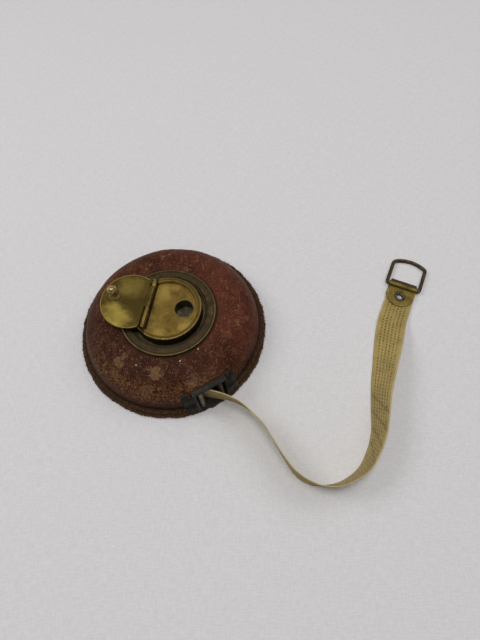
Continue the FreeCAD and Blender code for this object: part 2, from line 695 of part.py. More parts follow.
def tape_stations():
    """Sections along straight runs and tangent arcs: place, direction and lean of each."""
    points = [V(*row[:3]) for row in TAPE_ROUTE]
    leans = [row[3] for row in TAPE_ROUTE]
    corners = bends(points)
    print("tape bend radii:", [round(bend[3], 1) for bend in corners])
    stations = [(points[0], points[1].sub(points[0]), leans[0])]
    length = 0.0
    last = points[0]
    for index, (start, middle, end, radius) in enumerate(corners):
        curve = Part.Arc(start, middle, end).toShape()
        length += start.distanceToPoint(last) + curve.Length
        last = end
        first, final = curve.ParameterRange
        run_in, run_out = (ARC_SHARE * leans[index] + (1 - ARC_SHARE) * leans[index + 1],
                           ARC_SHARE * leans[index + 2] + (1 - ARC_SHARE) * leans[index + 1])
        ends = (run_in, (run_in + run_out + 2 * leans[index + 1]) / 4, run_out)
        for step in range(5):
            share = step / 4
            place = first + share * (final - first)
            lean = (ends[0] * (1 - share) ** 2 + 2 * ends[1] * share * (1 - share) + ends[2] * share ** 2)
            stations.append((curve.valueAt(place), curve.tangentAt(place), lean))
    stations.append((points[-1], points[-1].sub(points[-2]), leans[-1]))
    length += points[-1].distanceToPoint(last)
    return stations, length


def tape_section(place, direction, lean):
    """The tape's thin rectangle at one station."""
    ahead = V(direction).normalize()
    right = ahead.cross(UP).normalize()
    upward = right.cross(ahead)
    turn = math.radians(lean)
    across = upward * math.cos(turn) + right * math.sin(turn)
    through = across.cross(ahead)
    wide, thin = across * (TAPE_W / 2), through * (TAPE_T / 2)
    corners = [place + wide + thin, place + wide - thin, place - wide - thin, place - wide + thin]
    return Part.makePolygon(corners + corners[:1])


def tape_strip():
    """The pulled-out tape: a thin strip along straight runs and tangent arcs, turning as it goes."""
    stations, length = tape_stations()
    strip = Part.makeLoft([tape_section(*station) for station in stations], True, True)
    print("tape length %.1f, volume over section x length %.3f, lowest %.3f" % (
        length, strip.Volume / (length * TAPE_W * TAPE_T), strip.BoundBox.ZMin))
    return strip.cut(in_clip_frame(Part.makeCylinder(EYELET_R, CLIP_HALF)))


# ---- clip and pull ring ------------------------------------------------------------------------
def clip_leaf(low, high):
    """One leaf of the clip: straight sides, rounded end."""
    straight = block((CLIP_ROUND_X, -CLIP_HALF, low), (ROLL_X, CLIP_HALF, high))
    rounded = Part.makeCylinder(CLIP_HALF, high - low, V(CLIP_ROUND_X, 0, low))
    return straight.fuse(rounded.common(block((-20, -20, low), (ROLL_X, 20, high))))


def end_clip():
    """Folded brass clip: two leaves over the tape's end and a roll round the ring's straight side."""
    lower = clip_leaf(0, CLIP_T)
    upper = clip_leaf(CLIP_T + TAPE_SLOT, 2 * CLIP_T + TAPE_SLOT)
    roll = Part.makeCylinder(ROLL_R, 2 * CLIP_HALF, V(ROLL_X, -CLIP_HALF, ROLL_R), V(0, 1, 0))
    bore_start = V(ROLL_X, -CLIP_HALF - 1, ROLL_R)
    bore = Part.makeCylinder(ROLL_R - CLIP_T, 2 * CLIP_HALF + 2, bore_start, V(0, 1, 0))
    body = lower.fuse([upper, roll]).cut(bore)
    body = body.cut(Part.makeCylinder(EYELET_R, 9, V(0, 0, -1)))
    return in_clip_frame(body.removeSplitter())


def clip_eyelet():
    """Turned-over eyelet through the clip and the tape."""
    low, top = 0.05, 2 * CLIP_T + TAPE_SLOT
    hole_r = EYELET_R - 0.45
    crest_r = (EYELET_R + EYELET_FLANGE_R) / 2
    edges = [
        line((hole_r, low), (EYELET_R, low)), line((EYELET_R, low), (EYELET_R, top)),
        line((EYELET_R, top), (EYELET_FLANGE_R, top)),
        arc((EYELET_FLANGE_R, top), (crest_r, top + 0.45), (hole_r, top + 0.1)),
        line((hole_r, top + 0.1), (hole_r, low)),
    ]
    return in_clip_frame(turned(edges))


def stop_bar():
    """Bronze rod fixed along the outside of the roll; it stops the clip at the mouth."""
    along, height = STOP_BAR_AT
    start = V(along, -STOP_BAR_HALF, height)
    return in_clip_frame(Part.makeCylinder(STOP_BAR_R, 2 * STOP_BAR_HALF, start, V(0, 1, 0)))


def ring_corner(centre, radius, start, end):
    """A round corner of the ring's middle line, between two directions in degrees."""
    spots = []
    for angle in (start, (start + end) / 2, end):
        turn = math.radians(angle)
        spots.append(V(centre[0] + radius * math.cos(turn), centre[1] + radius * math.sin(turn), 0))
    return Part.Arc(*spots).toShape()


def ring_path():
    """Middle line of the ring: straight side on the Y axis, two sides, and one bowed arc."""
    crown_r = (RING_HALF ** 2 + RING_CROWN ** 2) / (2 * RING_CROWN)
    crown_x = RING_DEPTH + RING_CROWN - crown_r
    inset = RING_HALF - RING_CORNER_R
    corner_x = crown_x + math.sqrt((crown_r - RING_CORNER_R) ** 2 - inset ** 2)
    meet = math.degrees(math.atan2(inset, corner_x - crown_x))
    foot_y = RING_HALF - RING_FOOT_R
    return Part.Wire([
        Part.makeLine(V(0, 0, 0), V(0, -foot_y, 0)),
        ring_corner((RING_FOOT_R, -foot_y), RING_FOOT_R, 180, 270),
        Part.makeLine(V(RING_FOOT_R, -RING_HALF, 0), V(corner_x, -RING_HALF, 0)),
        ring_corner((corner_x, -inset), RING_CORNER_R, -90, -meet),
        ring_corner((crown_x, 0), crown_r, -meet, meet),
        ring_corner((corner_x, inset), RING_CORNER_R, meet, 90),
        Part.makeLine(V(corner_x, RING_HALF, 0), V(RING_FOOT_R, RING_HALF, 0)),
        ring_corner((RING_FOOT_R, foot_y), RING_FOOT_R, 90, 180),
        Part.makeLine(V(0, foot_y, 0), V(0, 0, 0)),
    ])


def pull_ring():
    """D-shaped wire ring: straight side in the clip's roll, bowed outer side on the ground."""
    profile = Part.Wire(Part.makeCircle(RING_WIRE_R, V(0, 0, 0), V(0, -1, 0)))
    ring = ring_path().makePipeShell([profile], True, True)
    drop = math.degrees(math.asin((ROLL_R - RING_WIRE_R) / (RING_DEPTH + RING_CROWN)))
    ring.rotate(V(0, 0, 0), V(0, 1, 0), drop)
    ring.translate(V(ROLL_X, 0, ROLL_R))
    return in_clip_frame(ring)


NODES = [
    ("back_cover", back_cover), ("front_cover", front_cover), ("rim_stitches", rim_stitches),
    ("bezel_ring", bezel_ring), ("bezel_clamp_ring", bezel_clamp_ring), ("bezel_studs", bezel_studs),
    ("back_plate", back_plate), ("inner_plate", inner_plate),
    ("back_rivets", lambda: Part.makeCompound(back_rivet_places())),
    ("spindle", spindle), ("spindle_washer", spindle_washer), ("spindle_screw", spindle_screw),
    ("mouth_frame", mouth_frame), ("mouth_rivets", lambda: Part.makeCompound(mouth_rivet_places())),
    ("roller_pin_left", lambda: roller_pin(-1)), ("roller_pin_right", lambda: roller_pin(1)),
    ("roller_left", lambda: roller(-1)), ("roller_right", lambda: roller(1)),
    ("hub", hub), ("hub_bush", lambda: tube(BUSH_R, SPINDLE_R + RUNNING_GAP, HUB_Z, BUSH_TOP)),
    ("drum_pins", lambda: Part.makeCompound(drum_pin_places())),
    ("tape_coil", tape_coil), ("tape_anchor", tape_anchor),
    ("winding_boss", winding_boss), ("knob_pocket", knob_pocket), ("hinge_pin", hinge_pin),
    ("handle_flap", handle_flap), ("knob_post", knob_post), ("knob", knob),
    ("tape_strip", tape_strip), ("end_clip", end_clip), ("clip_eyelet", clip_eyelet),
    ("stop_bar", stop_bar), ("pull_ring", pull_ring),
]

for node, make in NODES:
    save(node, make())
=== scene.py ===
"""Looks of the leather-cased tape measure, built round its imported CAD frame.

Lengths are in metres, +Z up, in the frame of the CAD. Materials work in millimetres of the
object's own coordinates, so that their grain has its real size and moves with the piece.
Colours are linear red, green and blue.
"""
import math
import random
from collections import namedtuple

import bpy
from mathutils import Matrix, Vector, noise


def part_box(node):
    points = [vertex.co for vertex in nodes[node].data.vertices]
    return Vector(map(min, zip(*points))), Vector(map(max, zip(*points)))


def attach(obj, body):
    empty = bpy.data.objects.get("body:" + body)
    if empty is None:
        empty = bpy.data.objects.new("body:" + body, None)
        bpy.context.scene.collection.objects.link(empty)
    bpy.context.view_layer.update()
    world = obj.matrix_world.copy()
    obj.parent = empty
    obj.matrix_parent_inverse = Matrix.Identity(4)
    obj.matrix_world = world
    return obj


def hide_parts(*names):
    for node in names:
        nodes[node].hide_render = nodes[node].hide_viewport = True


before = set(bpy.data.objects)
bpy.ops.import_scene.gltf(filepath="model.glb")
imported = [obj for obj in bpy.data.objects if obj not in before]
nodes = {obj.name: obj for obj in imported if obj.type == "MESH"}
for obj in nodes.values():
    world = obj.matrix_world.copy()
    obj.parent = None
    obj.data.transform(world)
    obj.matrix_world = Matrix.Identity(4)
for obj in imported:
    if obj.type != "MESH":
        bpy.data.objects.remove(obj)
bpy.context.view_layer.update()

MM = 0.001
UP = Vector((0, 0, 1))
scene = bpy.context.scene

# ---- driving dimensions, read from the frame where it holds them ----------------------------
CASE_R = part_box("back_cover")[1][0]
FLANGE_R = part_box("front_cover")[1][0]
CASE_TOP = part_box("front_cover")[1][2]
FLANGE_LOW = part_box("front_cover")[0][2]
FLANGE_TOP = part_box("rim_stitches")[0][2]
BEZEL_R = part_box("bezel_ring")[1][0]
BOSS_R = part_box("winding_boss")[1][0]
MOUTH_TURN = math.radians(-65.0)            # the mouth's middle, round from +X
MOUTH_HALF_TURN = 0.32                      # radians; no fibres grow so near to the mouth
LOWEST = 0.05 * MM                          # the tape and the fibres stay this far off the ground
LEATHER_VOXEL = 0.5 * MM
CUT_EDGE = 1.6 * MM                         # how far in from its rim a leather's edge is ragged

# Layers of noise, each its waves per unit of place and its height in millimetres.
LEATHER_WAVES = ((0.09, 0.32), (0.35, 0.12))
RAGGED_ROUND_THE_RIM = ((9.0, 0.55), (42.0, 0.35))
RAGGED_GRAIN = ((1.3, 0.3),)

# ---- fibres of the cut edges, in millimetres ------------------------------------------------
FIBRES = 1300                               # tries; those at the mouth are dropped
FIBRES_ON_FRONT = 0.45                      # share of them that grows on the front leather
FIBRE_LENGTH = (0.7, 1.7)
FIBRE_WIDTH = (0.05, 0.12)
FIBRE_BOW = (-0.12, 0.2)                    # how far its middle bows up
FIBRE_ROOT = 0.5                            # how deep in the leather a fibre starts
FIBRE_TAPER = 0.8                           # width half way along, as a share of the root's

# ---- camera and room --------------------------------------------------------------------------
CAMERA_PLACE = (0.03864, -0.12209, 0.25151)
CAMERA_DIP = math.radians(63.71)            # how far below level the camera looks
CAMERA_ROLL = math.radians(-4.52)
FLOOR_HALF = 1.5
FLOOR_DROP = 0.05 * MM                      # the floor lies just under the base, so they don't flicker
KEY_WHITE, FILL_WHITE, ROOM_WHITE = (1.0, 0.98, 0.95), (1.0, 0.98, 0.96), (1.0, 0.985, 0.97)

# ---- places in the materials, in millimetres ------------------------------------------------
SHOULDER_R = 47.0                           # outer edge of the leather's shoulder
RECESS_Z = 24.3                             # floor of the boss's recess
FLAP_Z = 28.2                               # middle of the open handle plate
FLAP_MIDDLE = (-19.02, 4.74, FLAP_Z)
FLAP_R = 16.1
HINGE_WAY = (0.9703, -0.2419, 0.0)          # an arrow square to the handle's hinge,
HINGE_REACH = -9.8                          # and how far along it the hinge lies
RUBBED_WAY = (-0.36, -0.93, 0.0)            # the side of the shoulder that hands rub most
AWAY_FROM_PAINTED_SHADE = (0.4, 0.85, 0.0)             # points away from the lower left, where shade is painted on the front leather

# ---- tape -----------------------------------------------------------------------------------
# The tape's middle line, as in the CAD: x, y, z in millimetres and its lean in degrees.
TAPE_ROUTE = [
    (-8.5, -33.6, 10.2, 0), (4.5, -38.4, 10.2, 0), (19.0, -44.0, 10.0, 2),
    (30.0, -46.8, 9.5, 7), (39.5, -53.0, 8.7, 11), (47.5, -63.5, 8.2, 10),
    (53.7, -77.0, 8.1, 5), (60.5, -89.5, 8.1, 3), (74.0, -95.5, 8.1, 8),
    (90.0, -91.5, 7.9, 14), (100.5, -80.0, 7.8, 15), (105.5, -66.5, 7.6, 20),
    (109.0, -51.0, 7.2, 29), (114.3, -36.0, 6.2, 43), (119.8, -21.5, 4.0, 63),
    (125.0, -7.5, 1.85, 84), (128.9, -0.4, 0.95, 90), (135.1, 11.7, 0.95, 90),
]
TAPE_W = 15.8 * MM
TAPE_T = 0.36 * MM
TAPE_LENGTH = 0.238
TAPE_LANES = 14                             # strips across each face of the tape
SELVEDGE_FROM = 0.9                         # share of the half width where the selvedge starts
SELVEDGE_SWELL = 1.35                       # how much thicker the selvedge is
TWIST_PACE, TWIST = 55.0, 0.16              # slow twist of the free tape: waves a metre, radians
RIPPLE_PACE, RIPPLE = 90.0, 1.1 * MM        # its ripples: waves a metre, height,
RIPPLE_ACROSS = 2.2                         # and waves from one edge to the other
EYELET_HOLE_R = 1.7 * MM

# ---- colours --------------------------------------------------------------------------------
OXBLOOD = (0.086, 0.025, 0.0122)
RED_OXBLOOD = (0.1, 0.023, 0.0125)
DARK_OXBLOOD = (0.031, 0.0085, 0.0042)
WARM_OXBLOOD = (0.15, 0.062, 0.031)
RUBBED_TAN = (0.36, 0.18, 0.062)
SHOULDER_TAN = (0.23, 0.115, 0.055)
SCUFF_DARK, SCUFF_PALE = (0.105, 0.05, 0.023), (0.27, 0.155, 0.078)
FUZZ_DARK, FUZZ_PALE = (0.03, 0.016, 0.008), (0.29, 0.138, 0.045)
PAINT_DROP = (0.6, 0.55, 0.48)
# painted shade for the brass's gaps and channels
PAINTED_SHADE_BLACK = (0.013, 0.009, 0.004)
RUBBED_YELLOW = (0.46, 0.33, 0.085)
BRIGHT_YELLOW = (0.5, 0.38, 0.085)

# Each brass has three tones: tarnished, middling and bright.
WARM_BRASS = ((0.1, 0.062, 0.014), (0.215, 0.138, 0.03), (0.4, 0.29, 0.078))
PALE_BRASS = WARM_BRASS[2]
BEZEL_BRASS = ((0.023, 0.014, 0.004), (0.058, 0.036, 0.0098), (0.17, 0.115, 0.033))
FLAP_BRASS = ((0.07, 0.047, 0.011), (0.13, 0.089, 0.019), (0.23, 0.165, 0.04))
KNOB_BRASS = ((0.19, 0.13, 0.055), (0.4, 0.3, 0.135), (0.66, 0.55, 0.32))
CLIP_BRASS = ((0.11, 0.08, 0.02), (0.17, 0.125, 0.031), (0.28, 0.2, 0.056))
EYELET_BRASS = ((0.06, 0.045, 0.022), (0.11, 0.085, 0.04), (0.3, 0.24, 0.12))
ROLLER_BRASS = ((0.1, 0.084, 0.06), (0.18, 0.155, 0.115), (0.3, 0.265, 0.2))
POCKET_BRASS = ((0.045, 0.037, 0.02), (0.1, 0.088, 0.05), (0.3, 0.275, 0.18))

# ---- marks, in millimetres; strength is how much of the tint shows -----------------------------
Scuff = namedtuple("Scuff", "centre size strength")
Scratch = namedtuple("Scratch", "turn amount strength")
Spot = namedtuple("Spot", "centre size tint strength")
Ring = namedtuple("Ring", "radius width tint strength")

SCUFFS = (
    Scuff((-25.8, -26.6, 20.2), 2.9, 0.7), Scuff((-23.4, -23.6, 20.8), 1.6, 0.5),
    Scuff((-7.0, -34.0, 20.7), 3.6, 0.75), Scuff((-5.4, -36.6, 20.3), 1.5, 0.6),
    Scuff((-28.5, -32.0, 17.0), 3.2, 0.4), Scuff((13.0, -40.4, 17.5), 4.0, 0.45),
    Scuff((37.0, -8.7, 19.8), 1.5, 0.6), Scuff((42.5, -5.5, 17.2), 1.5, 0.5),
    Scuff((-12.0, -42.0, 16.5), 3.4, 0.4),
)
SCRATCHES = (Scratch(20.0, 0.04, 0.6), Scratch(100.0, 0.06, 0.6), Scratch(65.0, 0.045, 0.6),
             Scratch(140.0, 0.03, 0.5))
PAINT_DROPS = ((6.1, -29.0, 21.0), (15.6, -23.1, 21.0), (-16.7, -29.3, 20.9))
RECESS_SPOTS = (
    Spot((-4.5, 11.5, RECESS_Z), 7.0, (0.47, 0.34, 0.08), 0.7),
    Spot((3.0, -6.0, RECESS_Z), 5.0, (0.1, 0.065, 0.015), 0.4),
    Spot((9.5, -11.5, RECESS_Z), 3.4, RUBBED_YELLOW, 0.55),
    Spot((-4.5, -13.5, RECESS_Z), 3.2, (0.43, 0.31, 0.08), 0.5),
    Spot((5.5, 13.6, RECESS_Z), 3.0, RUBBED_YELLOW, 0.45),
)
# The first spot is a painted highlight: the overhead light's reflection on the lower left of the plate.
FLAP_SPOTS = (
    Spot((-27.0, -4.5, FLAP_Z), 8.0, BRIGHT_YELLOW, 0.8),
    Spot((-19.0, 12.5, FLAP_Z), 6.5, BRIGHT_YELLOW, 0.3),
    Spot((-16.5, 2.0, FLAP_Z), 7.0, (0.05, 0.034, 0.009), 0.4),
)


# ---- node materials ---------------------------------------------------------------------------
class Material:
    """A procedural material, built a node at a time; positions are in millimetres."""

    def __init__(self, name, **values):
        self.material = bpy.data.materials.new(name)
        self.material.use_nodes = True
        self.tree = self.material.node_tree
        self.tree.nodes.clear()
        self.shader = self.tree.nodes.new("ShaderNodeBsdfPrincipled")
        output = self.tree.nodes.new("ShaderNodeOutputMaterial")
        self.tree.links.new(self.shader.outputs[0], output.inputs["Surface"])
        for socket, value in values.items():
            self.shader.inputs[socket.replace("_", " ")].default_value = value
        self.colour = None
        own_place = self.node("ShaderNodeTexCoord").outputs["Object"]
        self.place = self.vector("SCALE", own_place, scale=1 / MM)
        self.x, self.y, self.z = self.node("ShaderNodeSeparateXYZ", self.place).outputs
        self.radius = self.math("SQRT", self.plus(self.math("POWER", self.x, 2.0),
                                                  self.math("POWER", self.y, 2.0)))

    def node(self, kind, *values, **settings):
        """A new node with these settings; the values feed its inputs in order."""
        made = self.tree.nodes.new(kind)
        for setting, value in settings.items():
            setattr(made, setting, value)
        for socket, value in zip(made.inputs, values):
            self.feed(socket, value)
        return made

    def feed(self, socket, value):
        """Links a socket to another, or sets its number or colour."""
        if isinstance(value, bpy.types.NodeSocket):
            self.tree.links.new(value, socket)
        else:
            socket.default_value = value

    def math(self, operation, *values, clamp=False):
        return self.node("ShaderNodeMath", *values, operation=operation, use_clamp=clamp).outputs[0]

    def plus(self, first, second):
        return self.math("ADD", first, second)

    def times(self, product, *others):
        for other in others:
            product = self.math("MULTIPLY", product, other)
        return product

    def apart(self, first, second):
        """How far two values are from each other."""
        return self.math("ABSOLUTE", self.math("SUBTRACT", first, second))

    def vector(self, operation, *values, scale=None):
        made = self.node("ShaderNodeVectorMath", *values, operation=operation)
        if scale is not None:
            made.inputs["Scale"].default_value = scale
        return made.outputs["Value" if operation in ("DOT_PRODUCT", "DISTANCE") else "Vector"]

    def reach(self, way):
        """How far a place lies along an arrow from the axis."""
        return self.vector("DOT_PRODUCT", self.place, way)

    def step(self, value, low, high, start=0.0, end=1.0):
        """Goes smoothly from start to end as the value goes from low to high."""
        made = self.node("ShaderNodeMapRange", value, low, high, start, end)
        made.interpolation_type = "SMOOTHSTEP"
        return made.outputs[0]

    def noise(self, per_mm, detail=3.0, rough=0.55, place=None, bend=0.0):
        made = self.node("ShaderNodeTexNoise")
        self.feed(made.inputs["Vector"], place or self.place)
        settings = {"Scale": per_mm, "Detail": detail, "Roughness": rough, "Distortion": bend}
        for socket, value in settings.items():
            made.inputs[socket].default_value = value
        return made.outputs[0]

    def stretched(self, scale, turn=(0.0, 0.0, 0.0)):
        """The place, drawn out so that a noise on it makes long marks."""
        made = self.node("ShaderNodeMapping", self.place, vector_type="TEXTURE")
        made.inputs["Rotation"].default_value = turn
        made.inputs["Scale"].default_value = scale
        return made.outputs[0]

    def scratches(self, turn, per_mm, amount, length=14.0):
        """Thin straight marks that all run one way; amount is the share of the surface."""
        drawn = self.stretched((length, 1.0, 1.0), (0.3, 0.2, math.radians(turn)))
        marks = self.noise(per_mm, detail=2.0, place=drawn, bend=0.15)
        return self.step(marks, 0.74 - amount, 0.78 - amount)

    def specks(self, per_mm, size, rare):
        """Round specks; size and rare are the steps that cut off their radius and their number."""
        cells = self.node("ShaderNodeTexVoronoi")
        self.feed(cells.inputs["Vector"], self.place)
        cells.inputs["Scale"].default_value = per_mm
        number = self.node("ShaderNodeSeparateColor", cells.outputs["Color"]).outputs[0]
        return self.times(self.step(cells.outputs["Distance"], *size), self.step(number, *rare))

    def spot(self, centre, size, ragged=0.5, soft=0.2):
        """1 inside a ragged patch about a place, 0 outside."""
        away = self.vector("DISTANCE", self.place, centre)
        wander = self.math("SUBTRACT", self.noise(1.1 / size, detail=6.0, rough=0.7), 0.5)
        away = self.plus(away, self.times(wander, size * ragged * 9.0))
        return self.step(away, size * (0.9 + soft), size * (0.9 - soft))

    def ring(self, radius, width):
        """1 on a circle about the axis, fading to 0 at width from it."""
        return self.step(self.apart(self.radius, radius), width, 0.0)

    def mix(self, share, first, second):
        made = self.node("ShaderNodeMix", data_type="RGBA")
        for socket, value in ((made.inputs[0], share), (made.inputs[6], first), (made.inputs[7], second)):
            self.feed(socket, (*value, 1.0) if isinstance(value, tuple) else value)
        return made.outputs[2]

    def tint(self, tint, *shares):
        """Moves the colour towards the tint, by the product of the shares."""
        self.colour = self.mix(self.times(*shares), self.colour, tint)

    def surface(self, roughness, height, depth_mm):
        """Joins the colour, the roughness and a bump to the shader."""
        self.feed(self.shader.inputs["Base Color"], self.colour)
        self.feed(self.shader.inputs["Roughness"], roughness)
        bump = self.node("ShaderNodeBump")
        bump.inputs["Distance"].default_value = depth_mm * MM
        self.feed(bump.inputs["Height"], height)
        self.feed(self.shader.inputs["Normal"], bump.outputs[0])
        return self.material


# ---- leather materials ------------------------------------------------------------------------
def front_leather_material():
    """Old oxblood leather: mottled, rubbed tan on the lower shoulder, scuffed and scratched."""
    m = Material("leather_front", Specular_IOR_Level=0.07)
    cloudy = m.noise(0.22, detail=5.0, rough=0.65, bend=0.4)
    crumbs = m.noise(0.75, detail=7.0, rough=0.8)
    pores = m.noise(1.9, detail=4.0, rough=0.7)
    leather_dye(m, cloudy)
    leather_rubbing(m, crumbs)
    leather_marks(m)
    cut_edge = leather_shade_and_edges(m, crumbs)
    rough = m.math("ADD", m.step(cloudy, 0.3, 0.8, 0.44, 0.62), m.times(cut_edge, 0.3), clamp=True)
    return m.surface(rough, m.plus(m.times(pores, 0.45), m.times(crumbs, 0.7)), 0.32)


def leather_dye(m, cloudy):
    """Mottled dye, redder to the upper right, with painted shade darkening the lower left."""
    broad = m.noise(0.055, detail=4.0, rough=0.6)
    m.colour = m.mix(m.step(broad, 0.36, 0.66), OXBLOOD, DARK_OXBLOOD)
    m.tint(DARK_OXBLOOD, m.step(m.noise(0.32, detail=6.0, rough=0.7), 0.5, 0.7), 0.6)
    m.tint(RED_OXBLOOD, m.step(m.x, -22.0, 34.0), m.step(cloudy, 0.38, 0.62), m.step(m.y, -34.0, -12.0))
    # painted shade: darker towards the lower left
    m.tint(DARK_OXBLOOD, m.step(m.reach(AWAY_FROM_PAINTED_SHADE), 4.0, -32.0), 0.88)
    m.tint(WARM_OXBLOOD, m.step(cloudy, 0.48, 0.74), 0.55)


def leather_rubbing(m, crumbs):
    """Tan where hands and pockets have rubbed the shoulder, and scuffs down to the hide."""
    facing = m.math("DIVIDE", m.reach(RUBBED_WAY), m.math("MAXIMUM", m.radius, 1.0))
    m.tint(RUBBED_TAN, m.step(facing, 0.45, 0.95), m.step(m.radius, 37.0, 44.5),
           m.step(m.radius, 49.3, 46.5), m.step(crumbs, 0.47, 0.62), 0.6)
    hide = m.mix(m.step(m.noise(1.5, detail=6.0, rough=0.8), 0.38, 0.64), SCUFF_DARK, SCUFF_PALE)
    for scuff in SCUFFS:
        m.tint(hide, m.spot(scuff.centre, scuff.size), scuff.strength)


def leather_marks(m):
    """Scratches, pale grain, hairlines, specks and three drops of old paint."""
    for scratch in SCRATCHES:
        m.tint((0.26, 0.15, 0.1), m.scratches(scratch.turn, 1.1, scratch.amount), scratch.strength)
    m.tint((0.22, 0.096, 0.044), m.step(m.noise(1.1, detail=7.0, rough=0.8), 0.5, 0.68), 0.5)
    hairs = m.math("MAXIMUM", m.scratches(80.0, 1.9, 0.055, 26.0), m.scratches(15.0, 1.9, 0.05, 22.0))
    m.tint((0.36, 0.23, 0.15), hairs, 0.75)
    m.tint((0.34, 0.2, 0.12), m.specks(0.42, (0.13, 0.05), (0.78, 0.84)), 0.55)
    m.tint((0.38, 0.23, 0.14), m.specks(0.95, (0.22, 0.1), (0.8, 0.84)), 0.75)
    for centre in PAINT_DROPS:
        m.tint(PAINT_DROP, m.spot(centre, 0.42, ragged=0.25), 0.85)


def leather_shade_and_edges(m, crumbs):
    """A rubbed shoulder edge with a painted highlight along it, painted shade round the bezel and at the
    wall's foot, and the rough cut edge.

    Returns the share of the surface that is cut edge.
    """
    # wear and a painted highlight along the shoulder's rounded edge
    m.tint(SHOULDER_TAN, m.ring(SHOULDER_R, 1.6), m.step(crumbs, 0.48, 0.66), 0.6)
    # painted shade just outside the bezel
    m.tint((0.02, 0.01, 0.006), m.ring(BEZEL_R / MM + 0.3, 1.3), 0.75)
    # painted shade down the side wall to the flange
    m.tint((0.017, 0.01, 0.007), m.step(m.radius, SHOULDER_R + 0.9, SHOULDER_R + 2.0),
           m.step(m.z, 8.5, 4.6), 0.75)
    cut_edge = m.times(m.step(m.radius, SHOULDER_R + 2.4, SHOULDER_R + 3.4), m.step(m.z, 5.0, 4.2))
    fuzz = m.mix(m.step(m.noise(1.3, detail=6.0, rough=0.85), 0.5, 0.68), FUZZ_DARK, FUZZ_PALE)
    m.tint(fuzz, cut_edge)
    return cut_edge


def back_leather_material():
    """Plain brown leather, rougher and paler round its cut rim."""
    m = Material("leather_back", Specular_IOR_Level=0.2)
    broad = m.noise(0.12, detail=4.0)
    fibre = m.noise(1.4, detail=7.0, rough=0.85)
    m.colour = m.mix(m.step(broad, 0.35, 0.65), (0.06, 0.028, 0.017), (0.036, 0.018, 0.011))
    m.tint((0.19, 0.1, 0.042), m.step(m.radius, 50.3, 51.6), m.step(fibre, 0.46, 0.66))
    return m.surface(0.86, fibre, 0.45)


def fibre_material():
    m = Material("leather_fibres", Specular_IOR_Level=0.2)
    tone = m.noise(0.8, detail=3.0)
    m.colour = m.mix(m.step(tone, 0.4, 0.6), (0.06, 0.028, 0.012), (0.26, 0.13, 0.045))
    return m.surface(m.step(tone, 0.3, 0.7, 0.78, 0.95), tone, 0.08)


def thread_material():
    m = Material("waxed_thread", Specular_IOR_Level=0.25)
    strand = m.noise(2.6, detail=5.0, rough=0.7)
    m.colour = m.mix(m.step(strand, 0.4, 0.65), (0.03, 0.016, 0.009), (0.11, 0.055, 0.026))
    return m.surface(0.8, strand, 0.15)


# ---- metal materials --------------------------------------------------------------------------
def brass_material(name, tones, patch_mm=9.0, rough=(0.58, 0.36), metal=0.9, shift=0.0, spots=(),
                   rings=(), rim=None, painted_shade=None):
    """Old brass: cloudy tarnish in three tones, with pin spots, hairlines, rubbed places and painted
    highlights.

    rough is given from the dullest to the brightest tone; spots and rings may be rubbed places, painted
    highlights or painted shade; rim is the centre and radius of a disc whose edge gets a painted highlight;
    and the last argument is a function of the material that says where painted shade lies.
    """
    dull, mid, bright = tones
    m = Material(name, Metallic=metal)
    cloud = m.plus(m.noise(1.0 / patch_mm, detail=5.0, rough=0.62, bend=0.35), shift)
    fine = m.noise(1.6, detail=5.0, rough=0.7)
    level = m.plus(m.times(cloud, 0.75), m.times(fine, 0.25))
    m.colour = m.mix(m.step(level, 0.34, 0.54), dull, mid)
    m.tint(bright, m.step(level, 0.52, 0.72))
    for spot in spots:
        m.tint(spot.tint, m.spot(spot.centre, spot.size, ragged=0.25, soft=0.55), spot.strength)
    m.tint(tuple(0.35 * part for part in dull), m.specks(0.5, (0.14, 0.04), (0.66, 0.72)), 0.65)
    m.tint(bright, m.math("MAXIMUM", m.scratches(35.0, 1.5, 0.03), m.scratches(120.0, 1.7, 0.03)), 0.3)
    for ring in rings:
        m.tint(ring.tint, m.ring(ring.radius, ring.width), ring.strength)
    if rim:
        centre, radius = rim
        # painted highlight along the edge of the disc
        edge = m.step(m.vector("DISTANCE", m.place, centre), radius - 0.6, radius - 0.3)
        m.tint(tuple(1.7 * part for part in bright), edge, 0.75)
    # painted shade where the function says
    if painted_shade:
        m.tint(PAINTED_SHADE_BLACK, painted_shade(m), 0.88)
    return m.surface(m.step(level, 0.35, 0.7, *rough), m.plus(m.times(fine, 0.5), cloud), 0.06)


def hinge_channel_shade(m):
    """1 down in the channel along the handle's hinge, where shade is painted."""
    return m.times(m.step(m.apart(m.reach(HINGE_WAY), HINGE_REACH), 2.0, 1.5), m.step(m.z, 27.1, 26.3))


def boss_wall_shade(m):
    """1 on the boss's side wall below its lip, and in the hinge's channel: where shade is painted."""
    wall_r = BOSS_R / MM - 0.4
    wall = m.times(m.step(m.radius, wall_r - 0.25, wall_r), m.step(m.z, 25.9, 25.4))
    return m.math("MAXIMUM", wall, hinge_channel_shade(m))


def bezel_material():
    edge = BEZEL_R / MM
    # The pale ring is a painted highlight on the bezel's outer lip; the dark rings at 21.5 and 20.5 mm are
    # painted shade in its inner step.
    rings = (Ring(edge - 0.4, 0.4, PALE_BRASS, 0.3), Ring(edge - 1.5, 0.3, (0.03, 0.02, 0.008), 0.7),
             Ring(21.5, 0.45, (0.02, 0.014, 0.006), 0.9), Ring(20.5, 0.6, (0.016, 0.011, 0.005), 0.9))
    return brass_material("bezel_brass", BEZEL_BRASS, patch_mm=4.5, metal=0.6, rings=rings)


